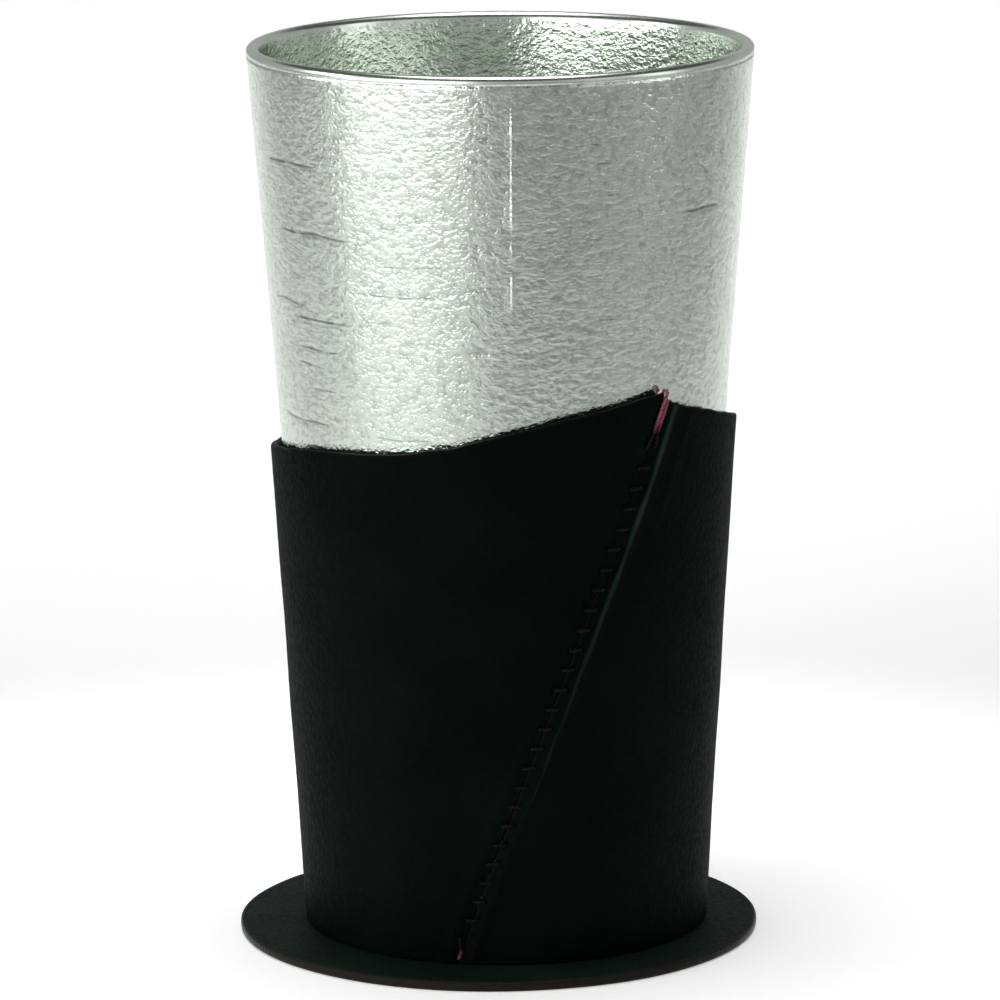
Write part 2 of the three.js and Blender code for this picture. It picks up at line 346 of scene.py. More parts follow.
# %% [markdown]
# ## Cast tin
#
# Tin is a soft white metal. Cast in sand and left as it came from the mould, it has a pebbled skin
# that breaks each reflection into short flecks. The pebbles are one noise and the sand's pits a
# finer one, and with the mould's ridge they make the bump. The height of a point tells the shader
# where the lip begins, which was turned smooth.

# %% Bump of the cast skin
FLECK_LENGTH = 1.3 * MM
FLECK_HEIGHT = 0.9 * MM
PIT_SIZE = 0.5 * MM
PIT_SHARE = 0.45
SKIN_DEPTH = 0.14 * MM
LIP_EDGE = 0.5 * MM
RIDGE_HALF_WIDTH = 0.35
RIDGE_STEEPNESS = 1.2

cast_tin = bpy.data.materials.new("cast_tin_sand_cast")
cast_tin.use_nodes = True
tree = cast_tin.node_tree
metal = tree.nodes["Principled BSDF"]
metal.inputs["Metallic"].default_value = 1

place = add_node(tree, "ShaderNodeTexCoord").outputs["Object"]
stretch = add_node(tree, "ShaderNodeMapping", inputs={
    "Vector": place, "Scale": (1 / FLECK_LENGTH, 1 / FLECK_LENGTH, 1 / FLECK_HEIGHT)}).outputs[0]
flecks = add_node(tree, "ShaderNodeTexNoise", inputs={
    "Vector": stretch, "Scale": 1, "Detail": 2, "Roughness": 0.6}).outputs["Fac"]
pits = add_node(tree, "ShaderNodeTexNoise", inputs={
    "Vector": place, "Scale": 1 / PIT_SIZE, "Detail": 1}).outputs["Fac"]
skin = add_node(tree, "ShaderNodeMath", {"operation": "MULTIPLY_ADD"}, {
    0: pits, 1: PIT_SHARE, 2: flecks}).outputs[0]

height = add_node(tree, "ShaderNodeSeparateXYZ", inputs={0: place}).outputs["Z"]
lip_start = FOOT_CENTRE.z + GROOVE_HEIGHT
as_cast = add_node(tree, "ShaderNodeMapRange", inputs={
    "Value": height, "From Min": lip_start, "From Max": lip_start + LIP_EDGE,
    "To Min": 1, "To Max": 0.06}).outputs[0]
from_parting = add_node(tree, "ShaderNodeAttribute", {"attribute_name": "parting_offset"}).outputs["Fac"]
parting_strength = add_node(tree, "ShaderNodeAttribute", {
    "attribute_name": "parting_strength"}).outputs["Fac"]
beside_parting = add_node(tree, "ShaderNodeMath", {"operation": "ABSOLUTE"}, {0: from_parting}).outputs[0]
crest = add_node(tree, "ShaderNodeMapRange", {"interpolation_type": "SMOOTHSTEP"}, {
    "Value": beside_parting, "From Max": RIDGE_HALF_WIDTH, "To Min": RIDGE_STEEPNESS, "To Max": 0}).outputs[0]
ridged_skin = add_node(tree, "ShaderNodeMath", {"operation": "MULTIPLY_ADD"}, {
    0: crest, 1: parting_strength, 2: skin}).outputs[0]
bump = add_node(tree, "ShaderNodeBump", inputs={
    "Strength": as_cast, "Distance": SKIN_DEPTH, "Height": ridged_skin}).outputs[0]
tree.links.new(bump, metal.inputs["Normal"])
print("flecks of", FLECK_LENGTH, "by", FLECK_HEIGHT, "m, pits of", PIT_SIZE, "m")

# %% [markdown]
# ## Tarnish and shine of the tin
#
# Tarnish stays where no hand rubs it off, so the skin's hollows are darker than its crowns, and the
# flow lines are darkest of all. The metal itself has a faint cool green that wanders from patch to
# patch. The crowns shine a little more than the hollows, and the lip has an even satin.

# %% Colour and gloss of the tin
LINE_HALF_WIDTH = 0.38
LIP_ROUGHNESS = 0.26
PATCH_SIZE = 7 * MM

line_offset = add_node(tree, "ShaderNodeAttribute", {"attribute_name": "line_offset"}).outputs["Fac"]
line_strength = add_node(tree, "ShaderNodeAttribute", {"attribute_name": "line_strength"}).outputs["Fac"]
aside = add_node(tree, "ShaderNodeMath", {"operation": "ABSOLUTE"}, {0: line_offset}).outputs[0]
tapered = add_node(tree, "ShaderNodeMath", {"operation": "MULTIPLY_ADD"}, {
    0: aside, 1: -1 / LINE_HALF_WIDTH, 2: line_strength}).outputs[0]
dull = add_node(tree, "ShaderNodeMapRange", inputs={
    "Value": tapered, "From Min": 0, "From Max": 0.7, "To Max": 0.7}).outputs[0]
patches = add_node(tree, "ShaderNodeTexNoise", inputs={
    "Vector": place, "Scale": 1 / PATCH_SIZE, "Detail": 3}).outputs["Fac"]
tone = add_node(tree, "ShaderNodeMix", {"data_type": "RGBA"}, {
    0: patches, 6: colour("D5E1D6"), 7: colour("E7EDE3")}).outputs[2]
tarnish = add_node(tree, "ShaderNodeMapRange", inputs={
    "Value": skin, "From Min": 0.46, "From Max": 0.78, "To Min": 0.64, "To Max": 1}).outputs[0]
grainy = add_node(tree, "ShaderNodeMix", {"data_type": "RGBA", "blend_type": "MULTIPLY"}, {
    0: as_cast, 6: tone, 7: tarnish}).outputs[2]
line_tone = add_node(tree, "ShaderNodeMix", {"data_type": "RGBA"}, {
    0: dull, 6: grainy, 7: colour("4A544E")}).outputs[2]
gloss = add_node(tree, "ShaderNodeMapRange", inputs={
    "Value": skin, "From Min": 0.6, "From Max": 1.2, "To Min": 0.18, "To Max": 0.12}).outputs[0]
satin = add_node(tree, "ShaderNodeMix", inputs={0: as_cast, 2: LIP_ROUGHNESS, 3: gloss}).outputs[0]
tree.links.new(line_tone, metal.inputs["Base Color"])
tree.links.new(satin, metal.inputs["Roughness"])

finish_piece(cup, "cup", cast_tin, "cup")

# %% [markdown]
# ## The sleeve's pattern
#
# The sleeve is one panel of leather about 1.2 mm thick. Its two ends slant and meet edge to edge, and
# the stitches pull them nearly shut. Its top edge falls from the low corner at the seam, runs level
# round the back and climbs past a shallow sag to the tip on the seam's other side. At the foot the
# sleeve is a little wider than the cup, so that it can be pushed off. The functions below give the
# top edge and how the surface lies beside the seam. The panel and the thread both use them.

# %% Functions for the sleeve's shape
LEATHER = 1.2 * MM
TIP_HEIGHT = 86 * MM
HEM_DROP = 13.1 * MM
CORNER_DROP = 1.6 * MM
FALL_SHARE = 0.4
RISE_SHARE = 0.375
RISE_POWER = 1.18
SAG_DEPTH = 1.45 * MM
SAG_SHARE = 0.833
SAG_REACH = 0.1
CORNER_ROUND = 1.6 * MM
FOOT_BORE = FOOT_RADIUS + 1.8 * MM
TIP_BORE = wall_radius(TIP_HEIGHT) + 0.25 * MM
SEAM_FOOT_ANGLE = 104
SEAM_SWEEP = 57.4
SEAM_GAP = 0.06 * MM
SHOULDER_WIDTH = 2 * MM
SKIVE_WIDTH = 2.2 * MM
SKIVE_RAMP = 1.2 * MM
SKIVE_DEPTH = 0.6 * MM
SHOULDER_DROP = LEATHER - SKIVE_DEPTH - 0.3 * MM


def sleeve_bore(height):
    return FOOT_BORE + (TIP_BORE - FOOT_BORE) * height / TIP_HEIGHT


def rounded_off(distance, width):
    """A quarter round: 1 at the edge, 0 from width onwards."""
    share = 1 - clamp(distance / width)
    return 1 - math.sqrt(1 - share * share)


def top_edge(share, from_end):
    """Height of the panel's top edge, share of the way round from the low corner to the tip."""
    fall = (HEM_DROP - CORNER_DROP) * max(0, 1 - share / FALL_SHARE) ** 2
    rise = HEM_DROP * clamp(1 - (1 - share) / RISE_SHARE) ** RISE_POWER
    from_sag = min(1, abs(share - SAG_SHARE) / SAG_REACH)
    sag = SAG_DEPTH * math.cos(from_sag * math.pi / 2) ** 2
    return TIP_HEIGHT - HEM_DROP + fall + rise - sag - CORNER_ROUND * rounded_off(from_end, CORNER_ROUND)


def shoulder(from_end):
    """How far the grain side rolls down towards the seam."""
    return SHOULDER_DROP * rounded_off(from_end, SHOULDER_WIDTH)


def skive(from_end):
    """How much is pared off the flesh side at the panel's ends, so that the thread has room."""
    return SKIVE_DEPTH * ease((SKIVE_WIDTH + SKIVE_RAMP - from_end) / SKIVE_RAMP)


def beside_seam(across, height, level):
    """The point at a distance across from the seam's middle and a level out from the sleeve's bore."""
    bore = sleeve_bore(height)
    angle = math.radians(SEAM_FOOT_ANGLE - SEAM_SWEEP * height / TIP_HEIGHT) + across / bore
    radius = bore + level
    return FOOT_CENTRE + Vector((radius * math.cos(angle), -radius * math.sin(angle), height))


for name, share in (("low corner", 0), ("hem", 0.5), ("tip", 1)):
    print(name, "at", top_edge(share, CORNER_ROUND))

# %% [markdown]
# ## Cutting the panel
#
# A leather worker cuts the panel flat, rounds and burnishes its edges and only then bends it. The
# mesh follows: a cube is scaled to a slab, its edges are bevelled, and even cuts divide it. It is
# bent in a step of its own.

# %% Cut the flat panel
EDGE_ROUND = 0.5 * MM
PANEL_LENGTH = math.tau * sleeve_bore(TIP_HEIGHT / 2) - SEAM_GAP
PANEL_COLUMNS = 220
PANEL_ROWS = 150

panel = bmesh.new()
bmesh.ops.create_cube(panel, size=1)
bmesh.ops.scale(panel, vec=(PANEL_LENGTH, TIP_HEIGHT, LEATHER), verts=panel.verts[:])
bmesh.ops.translate(panel, vec=(PANEL_LENGTH / 2, TIP_HEIGHT / 2, LEATHER / 2), verts=panel.verts[:])
bmesh.ops.bevel(panel, geom=panel.edges[:], offset=EDGE_ROUND, segments=3, profile=0.5,
                affect="EDGES", material=-1)
for axis, length, cuts in ((0, PANEL_LENGTH, PANEL_COLUMNS), (1, TIP_HEIGHT, PANEL_ROWS)):
    long_edges = [e for e in panel.edges if abs(e.verts[0].co[axis] - e.verts[1].co[axis]) > length / 2]
    bmesh.ops.subdivide_edges(panel, edges=long_edges, cuts=cuts, use_grid_fill=True)
print("flat panel of", PANEL_LENGTH, "by", TIP_HEIGHT, "in", len(panel.faces), "faces")

# %% [markdown]
# ## The stitches' marks
#
# Each stitch pulls the two edges down and together, so the leather dips at every hole, and the pull
# pushes up a low bead a couple of millimetres to either side. The dimples are less than a millimetre
# wide, but seen along the seam they are what makes it read as sewn. At the top the double strand has
# cut itself a groove. All of this repeats up the seam, so functions give it from a point's height
# and its distance from the cut end.

# %% Functions for the stitches' marks
STITCH_PITCH = 3 * MM
FIRST_STITCH = 4 * MM
LAST_STITCH = top_edge(0, 0) - 5 * MM
HOLE_ACROSS = 0.8 * MM
HOLE_WIDTH = 0.42 * MM
DIMPLE = 0.22 * MM
PUCKER = 0.1 * MM
PUCKER_REACH = 2.6 * MM
STRAND_GROOVE = 0.25 * MM
GROOVE_REACH = 1.4 * MM
BEAD_FROM_END = 2.1 * MM
BEAD_WIDTH = 0.8 * MM
BEAD_HEIGHT = 0.26 * MM
TIP_SIDE_BEAD = 0.4
CREASE_FROM_END = 5.8 * MM
CREASE_START = 60 * MM
CREASE_BLEND = 10 * MM
CREASE_BEAD = 0.5

stitch_count = round((LAST_STITCH - FIRST_STITCH) / STITCH_PITCH)
stitch_step = (LAST_STITCH - FIRST_STITCH) / stitch_count
stitch_heights = [FIRST_STITCH + stitch_step * i for i in range(stitch_count + 1)]


def stitch_pull(from_end, height):
    """How far the stitches pull the grain side down, in metres."""
    if height > LAST_STITCH + MM:
        return STRAND_GROOVE * ease((height - LAST_STITCH - MM) / MM) * (1 - ease(from_end / GROOVE_REACH))
    nearest = FIRST_STITCH + stitch_step * round((height - FIRST_STITCH) / stitch_step)
    if nearest < FIRST_STITCH - MM:
        return 0
    up = (height - nearest) / HOLE_WIDTH
    aside = (from_end + SEAM_GAP / 2 - HOLE_ACROSS) / HOLE_WIDTH
    wave = math.cos(math.pi * (height - nearest) / stitch_step) ** 2
    pucker = PUCKER * wave * (1 - ease(from_end / PUCKER_REACH))
    return DIMPLE * math.exp(-up * up - aside * aside) + pucker


def bead(from_end, height, low_side):
    """How far the leather is pushed up beside the seam, from 0 to 1, with a second crease on the low side."""
    main = math.exp(-((from_end - BEAD_FROM_END) / BEAD_WIDTH) ** 2)
    high_up = ease((height - CREASE_START) / CREASE_BLEND)
    crease = CREASE_BEAD * high_up * math.exp(-((from_end - CREASE_FROM_END) / BEAD_WIDTH) ** 2)
    return main + crease if low_side else TIP_SIDE_BEAD * main


print("stitches:", len(stitch_heights), "every", stitch_step)

# %% [markdown]
# ## Bending the panel
#
# Now each point of the flat panel is carried to its place on the cone. The columns are first crowded
# towards the two ends, where the seam needs them. The top edge wanders a little, as cut by hand, and
# away from the seam the panel bulges very slightly, as leather does that was wetted and pulled over
# a form. The bead on the low corner's side is given a paler painted highlight, strongest near the top. Three
# attributes note that painted highlight, the cut edge and the flesh side inside, for the leather's material.

# %% Bend the panel round the cup
CROWDING = 0.8
HIGHLIGHT_PATCH_LENGTH = 5 * MM
RAGGED = 0.25 * MM
RAGGED_WAVES = 60
RAGGED_BLEND = 4 * MM
BULGE = 0.12 * MM
BULGE_SIZE = 14 * MM
BULGE_BLEND = 8 * MM


def crowd_to_ends(along):
    """Moves the columns between the bevels towards the panel's two ends, where the seam needs them."""
    inner = PANEL_LENGTH - 2 * EDGE_ROUND
    share = (along - EDGE_ROUND) / inner
    if not 0 < share < 1:
        return along
    return EDGE_ROUND + inner * (share - CROWDING * math.sin(math.tau * share) / math.tau)


edge_layer = panel.verts.layers.float.new("cut_edge")
flesh_layer = panel.verts.layers.float.new("flesh_side")
bead_highlight_layer = panel.verts.layers.float.new("bead_highlight")
for vert in panel.verts:
    along, up, out = vert.co
    along = crowd_to_ends(along)
    from_end = min(along, PANEL_LENGTH - along)
    share = along / PANEL_LENGTH
    ragged = RAGGED * noise.noise((share * RAGGED_WAVES, 0, 0)) * clamp(from_end / RAGGED_BLEND)
    height = up / TIP_HEIGHT * (top_edge(share, from_end) + ragged)
    to_edge = min(from_end, up, TIP_HEIGHT - up)
    vert[edge_layer] = 1 - clamp(to_edge / EDGE_ROUND)
    vert[flesh_layer] = 1 if out < LEATHER / 2 else 0
    pushed_up = bead(from_end, height, along < PANEL_LENGTH / 2)
    # The bead's mark for a painted highlight: it follows the pushed-up bead, is uneven, and is stronger
    # towards the top.
    uneven = 0.9 + 0.3 * noise.noise((height / HIGHLIGHT_PATCH_LENGTH, along / MM, 3))
    vert[bead_highlight_layer] = pushed_up * uneven * (0.4 + 0.6 * height / TIP_HEIGHT)
    grain_level = LEATHER - shoulder(from_end) - stitch_pull(from_end, height) + BEAD_HEIGHT * pushed_up
    flesh_level = skive(from_end)
    level = flesh_level + out / LEATHER * (grain_level - flesh_level)
    bend = (math.tau * sleeve_bore(height) - SEAM_GAP) / PANEL_LENGTH
    place = beside_seam(-SEAM_GAP / 2 - along * bend, height, level)
    swell = BULGE * clamp(0.5 + noise.noise(place / BULGE_SIZE)) * ease(from_end / BULGE_BLEND)
    vert.co = beside_seam(-SEAM_GAP / 2 - along * bend, height, level + swell)
print("panel of", len(panel.verts), "points bent round the cup")

# %% [markdown]
# ## Dyed leather
#
# The sleeve and the coaster are vegetable-tanned hide, dyed black through and finished matt. The
# grain side is covered in small rounded pebbles with fine creases between them. Voronoi cells give
# that, and a softer noise under them keeps the cells from looking like tiles. The cut edges are
# burnished, so they are browner and shine more, and the flesh side inside is a dull, fuzzy grey.
# One function makes both leathers, because they differ only in a few tones and sizes.

# %% Material for the leathers
def dyed_leather(name, face, worn, bead_highlight_colour, edge, flesh, grain, edge_gloss, shine):
    """Black leather with pebbled grain of the given size. An attribute that the mesh lacks reads as 0."""
    leather = bpy.data.materials.new(name)
    leather.use_nodes = True
    tree = leather.node_tree
    hide = tree.nodes["Principled BSDF"]
    hide.inputs["Specular IOR Level"].default_value = shine
    place = add_node(tree, "ShaderNodeTexCoord").outputs["Object"]
    on_edge = add_node(tree, "ShaderNodeAttribute", {"attribute_name": "cut_edge"}).outputs["Fac"]
    inside = add_node(tree, "ShaderNodeAttribute", {"attribute_name": "flesh_side"}).outputs["Fac"]
    bead_highlight_read = add_node(tree, "ShaderNodeAttribute", {"attribute_name": "bead_highlight"}).outputs["Fac"]
    bead_highlight = add_node(tree, "ShaderNodeMapRange", inputs={"Value": bead_highlight_read, "From Min": 0.5}).outputs[0]

    bent = add_node(tree, "ShaderNodeTexNoise", inputs={
        "Vector": place, "Scale": 0.4 / grain}).outputs["Color"]
    wander = add_node(tree, "ShaderNodeVectorMath", {"operation": "MULTIPLY_ADD"}, {
        0: bent, 1: (0.9 * grain, 0.9 * grain, 0.9 * grain), 2: place}).outputs[0]
    cells = add_node(tree, "ShaderNodeTexVoronoi", {"feature": "SMOOTH_F1"}, {
        "Vector": wander, "Scale": 1 / grain, "Smoothness": 0.35}).outputs["Distance"]
    fibres = add_node(tree, "ShaderNodeTexNoise", inputs={
        "Vector": place, "Scale": 3 / grain, "Detail": 3}).outputs["Fac"]
    relief = add_node(tree, "ShaderNodeMath", {"operation": "MULTIPLY_ADD"}, {
        0: cells, 1: -1, 2: fibres}).outputs[0]
    bump = add_node(tree, "ShaderNodeBump", inputs={
        "Strength": 0.8, "Distance": 0.1 * grain, "Height": relief}).outputs[0]

    blotch = add_node(tree, "ShaderNodeTexNoise", inputs={
        "Vector": place, "Scale": 1 / (16 * MM), "Detail": 4}).outputs["Fac"]
    faded = add_node(tree, "ShaderNodeMapRange", inputs={
        "Value": blotch, "From Min": 0.35, "From Max": 0.7}).outputs[0]
    face_tone = add_node(tree, "ShaderNodeMix", {"data_type": "RGBA"}, {
        0: faded, 6: colour(face), 7: colour(worn)}).outputs[2]
    side_tone = add_node(tree, "ShaderNodeMix", {"data_type": "RGBA"}, {
        0: inside, 6: face_tone, 7: colour(flesh)}).outputs[2]
    # Where the bead beside the seam is marked, a paler tone is mixed in as a painted highlight, and the
    # roughness drops there too.
    bead_highlight_tone = add_node(tree, "ShaderNodeMix", {"data_type": "RGBA"}, {
        0: bead_highlight, 6: side_tone, 7: colour(bead_highlight_colour)}).outputs[2]
    edge_tone = add_node(tree, "ShaderNodeMix", {"data_type": "RGBA"}, {
        0: on_edge, 6: bead_highlight_tone, 7: colour(edge)}).outputs[2]
    sheen = add_node(tree, "ShaderNodeMapRange", inputs={
        "Value": cells, "To Min": 0.5, "To Max": 0.72}).outputs[0]
    bead_roughness = add_node(tree, "ShaderNodeMix", inputs={0: bead_highlight, 2: sheen, 3: 0.32}).outputs[0]
    edge_sheen = add_node(tree, "ShaderNodeMix", inputs={
        0: on_edge, 2: bead_roughness, 3: edge_gloss}).outputs[0]
    tree.links.new(edge_tone, hide.inputs["Base Color"])
    tree.links.new(edge_sheen, hide.inputs["Roughness"])
    tree.links.new(bump, hide.inputs["Normal"])
    return leather


# The paler tone given for the bead beside the seam is a painted highlight.
sleeve_leather = dyed_leather(
    "sleeve_leather_dyed_hide", face="020805", worn="060F0B", bead_highlight_colour="2C403B", edge="101110",
    flesh="2B2826", grain=0.9 * MM, edge_gloss=0.42, shine=0.025)
finish_piece(panel, "sleeve", sleeve_leather, "sleeve")

# %% [markdown]
# ## The lacing thread
#
# One length of waxed thread starts as a short tail at the foot, laces from side to side up the seam,
# crosses in the valley at every hole, and at the top goes over the edge as a double strand and back
# down inside. It is held all the way, so it is no loose cord. The route is a list of corners beside
# the seam, as distances across it, heights, and levels out from the bore. Each corner is rounded.

# %% Lay the thread's route
THREAD_DIAMETER = 0.5 * MM
THREAD_LIFT = 0.1 * MM
STRAND_GAP = 0.16 * MM
LOOP_FOOT = 3 * MM
TAIL_END = 0.9 * MM
TAIL_LENGTH = 1.1 * MM
TUCKED_END = 1.5 * MM
FORK_RISE = 1.6 * MM
BEND = 0.5 * MM

on_grain = LEATHER - shoulder(HOLE_ACROSS - SEAM_GAP / 2) + THREAD_LIFT + THREAD_DIAMETER / 2
in_skive = THREAD_DIAMETER / 2
strand = (THREAD_DIAMETER + STRAND_GAP) / 2
over = THREAD_DIAMETER / 2 + THREAD_LIFT
reach = strand + THREAD_DIAMETER / 2 - SEAM_GAP / 2
last = stitch_heights[-1]
over_corner = top_edge(0, reach) + over
over_tip = top_edge(1, reach) + over
fork = last + FORK_RISE

route = [(0, TAIL_END, on_grain), (0, TAIL_END + TAIL_LENGTH, on_grain)]
for index, height in enumerate(stitch_heights[:-1]):
    if index:
        route += [(-HOLE_ACROSS, height, in_skive), (-HOLE_ACROSS, height, on_grain)]
    route += [(HOLE_ACROSS, height, on_grain), (HOLE_ACROSS, height, in_skive)]
in_groove = on_grain - STRAND_GROOVE
route += [
    (-HOLE_ACROSS, last, in_skive), (-HOLE_ACROSS, last, on_grain), (-strand, fork, in_groove),
    (-strand, over_corner, in_groove), (-strand, over_corner, in_skive),
    (-strand, last + LOOP_FOOT, in_skive), (strand, last + LOOP_FOOT, in_skive),
    (strand, over_tip, in_skive), (strand, over_tip, in_groove), (strand, fork, in_groove),
    (HOLE_ACROSS, last, on_grain), (HOLE_ACROSS, last, in_skive), (0, last - TUCKED_END, in_skive),
]


def rounded_route(corners):
    """The route as points in space, with every corner turned into a short curve."""
    points = [Vector(corner) for corner in corners]
    smooth = [points[0]]
    for before, corner, after in zip(points, points[1:], points[2:]):
        cut = min(BEND, (corner - before).length / 2, (after - corner).length / 2)
        start = corner + (before - corner).normalized() * cut
        end = corner + (after - corner).normalized() * cut
        smooth += [start.lerp(corner, s).lerp(corner.lerp(end, s), s) for s in (0, 0.25, 0.5, 0.75, 1)]
    return [beside_seam(*point) for point in smooth + [points[-1]]]


thread_path = rounded_route(route)
thread_length = sum((b - a).length for a, b in zip(thread_path, thread_path[1:]))
print("thread of", round(thread_length / MM), "mm in", len(thread_path), "points")

# %% [markdown]
# ## Twisting the thread
#
# Sewing thread is two plies twisted together. A plain tube would look like wire, so each ply is a
# curve of its own that winds round the route. A frame is carried along the route without turning,
# and the ply's offset turns in it once for each length of lay. The curves are filled to round tubes
# and made a mesh.

# %% Twist two plies along the route
PLY_LAY = 1.3 * MM
PLY_RADIUS = 0.16 * MM
PLY_OFFSET = 0.13 * MM
PLY_STEP = 0.16 * MM


def even_points(path, step):
    """Points at even steps along a path."""
    even = [path[0]]
    left = step
    for start, end in zip(path, path[1:]):
        length = (end - start).length
        done = 0
        while length - done >= left:
            done += left
            even.append(start.lerp(end, done / length))
            left = step
        left -= length - done
    return even


def ply_points(path, start_turn):
    """The middle line of one ply, wound round the path."""
    side = Vector((1, 0, 0))
    ply = []
    for index, point in enumerate(path):
        ahead = (path[min(index + 1, len(path) - 1)] - path[max(index - 1, 0)]).normalized()
        side = (side - ahead * side.dot(ahead)).normalized()
        turn = math.tau * (start_turn + index * PLY_STEP / PLY_LAY)
        offset = side * math.cos(turn) + ahead.cross(side) * math.sin(turn)
        ply.append(point + offset * PLY_OFFSET)
    return ply


thread_curve = bpy.data.curves.new("plies", "CURVE")
thread_curve.dimensions = "3D"
thread_curve.bevel_depth = PLY_RADIUS
thread_curve.bevel_resolution = 1
thread_curve.use_fill_caps = True
even_path = even_points(thread_path, PLY_STEP)
for start_turn in (0, 0.5):
    spline = thread_curve.splines.new("POLY")
    points = ply_points(even_path, start_turn)
    spline.points.add(len(points) - 1)
    for spline_point, point in zip(spline.points, points):
        spline_point.co = (*point, 1)

curve_object = bpy.data.objects.new("plies", thread_curve)
bpy.context.scene.collection.objects.link(curve_object)
ready = curve_object.evaluated_get(bpy.context.evaluated_depsgraph_get())
thread = bmesh.new()
thread.from_mesh(bpy.data.meshes.new_from_object(ready))
bpy.data.objects.remove(curve_object)
bmesh.ops.remove_doubles(thread, verts=thread.verts[:], dist=0.001 * MM)
bmesh.ops.recalc_face_normals(thread, faces=thread.faces[:])
print("plies in", len(thread.faces), "faces")

# %% [markdown]
# ## Waxed linen thread
#
# The thread is linen, dyed a dull red and drawn through wax. Over the top of the seam it is pink.
# Down in the valley it is painted nearly black, as painted shade, and its cut tail gets less of
# that painted shade. So its colour follows its height, and a fine noise adds the fibres.

# %% Material for the thread
VALLEY_SHADE_TOP = FOOT_CENTRE.z + last + 2 * MM
UNSHADED_FROM = FOOT_CENTRE.z + last + 4 * MM
TAIL_TOP = FOOT_CENTRE.z + 2.6 * MM
TAIL_PALE = FOOT_CENTRE.z + 1.6 * MM
FIBRE_SIZE = 0.3 * MM
FIBRE_DEPTH = 0.03 * MM

waxed_thread = bpy.data.materials.new("waxed_linen_thread")
waxed_thread.use_nodes = True
tree = waxed_thread.node_tree
linen = tree.nodes["Principled BSDF"]
linen.inputs["Specular IOR Level"].default_value = 0.12
linen.inputs["Roughness"].default_value = 0.6
place = add_node(tree, "ShaderNodeTexCoord").outputs["Object"]
height = add_node(tree, "ShaderNodeSeparateXYZ", inputs={0: place}).outputs["Z"]
unshaded_top = add_node(tree, "ShaderNodeMapRange", inputs={
    "Value": height, "From Min": VALLEY_SHADE_TOP, "From Max": UNSHADED_FROM}).outputs[0]
pale_tail = add_node(tree, "ShaderNodeMapRange", inputs={
    "Value": height, "From Min": TAIL_TOP, "From Max": TAIL_PALE, "To Max": 0.45}).outputs[0]
unshaded = add_node(tree, "ShaderNodeMath", {"operation": "MAXIMUM"}, {0: unshaded_top, 1: pale_tail}).outputs[0]
fibre = add_node(tree, "ShaderNodeTexNoise", inputs={
    "Vector": place, "Scale": 1 / FIBRE_SIZE, "Detail": 2}).outputs["Fac"]
red = add_node(tree, "ShaderNodeMix", {"data_type": "RGBA"}, {
    0: fibre, 6: colour("8A3F55"), 7: colour("C2748A")}).outputs[2]
# Down the seam the thread is painted nearly black as painted shade in the valley; the top and the tail keep
# more of their red.
valley_shaded = add_node(tree, "ShaderNodeMix", {"data_type": "RGBA"}, {
    0: unshaded, 6: colour("0C090A"), 7: red}).outputs[2]
bump = add_node(tree, "ShaderNodeBump", inputs={
    "Strength": 0.5, "Distance": FIBRE_DEPTH, "Height": fibre}).outputs[0]
tree.links.new(valley_shaded, linen.inputs["Base Color"])
tree.links.new(bump, linen.inputs["Normal"])

finish_piece(thread, "seam_thread", waxed_thread, "sleeve")

# %% [markdown]
# ## The coaster
#
# The coaster is a disc cut from the same hide. It is turned from an outline like the cup, with its
# edges rounded over, and then made a little less than perfect: a hand-cut edge is not quite
# round, and leather that has been wet does not lie dead flat. Under the cup's foot it stays flat.

# %% Turn the coaster
COASTER_RADIUS = (coaster_high.x - coaster_low.x) / 2
COASTER_THICKNESS = coaster_high.z - coaster_low.z
COASTER_ROUND = 0.6 * MM
COASTER_MIDDLE = 6 * MM
COASTER_COLUMNS = 240
COASTER_ROWS = 1.2 * MM
HAND_CUT = 0.12 * MM
HAND_CUT_WAVE = 18 * MM
WARP = 0.1 * MM
WARP_WAVE = 11 * MM
FLAT_RADIUS = FOOT_RADIUS + 3 * MM
FLAT_BLEND = 6 * MM

coaster_corners = [
    (0, 0, 0),
    (COASTER_MIDDLE, 0, 0),
    (COASTER_RADIUS, 0, COASTER_ROUND),
    (COASTER_RADIUS, COASTER_THICKNESS, COASTER_ROUND),
    (COASTER_MIDDLE, COASTER_THICKNESS, 0),
    (0, COASTER_THICKNESS, 0),
]
coaster = turned_body(coaster_corners, COASTER_COLUMNS, lambda point: COASTER_ROWS)
edge_layer = coaster.verts.layers.float.new("cut_edge")
flesh_layer = coaster.verts.layers.float.new("flesh_side")
for vert in coaster.verts:
    radius = math.hypot(vert.co.x, vert.co.y)
    vert[edge_layer] = clamp((radius - COASTER_RADIUS + COASTER_ROUND) / COASTER_ROUND)
    vert[flesh_layer] = 1 if vert.co.z < COASTER_THICKNESS / 2 else 0
    outer = ease((radius - FLAT_RADIUS) / FLAT_BLEND)
    top = vert.co.z / COASTER_THICKNESS
    trim = HAND_CUT * (noise.noise(vert.co / HAND_CUT_WAVE) - 0.6) * outer
    dip = WARP * (noise.noise(vert.co / WARP_WAVE) - 0.5) * outer * top
    vert.co += Vector((vert.co.x, vert.co.y, 0)) * (trim / max(radius, MM)) + Vector((0, 0, dip))

coaster_leather = dyed_leather(
    "coaster_leather_dyed_hide", face="0C1813", worn="14231D", bead_highlight_colour="14231D", edge="231F1C",
    flesh="2B2826", grain=0.8 * MM, edge_gloss=0.3, shine=0.06)
finish_piece(coaster, "coaster", coaster_leather, "coaster")

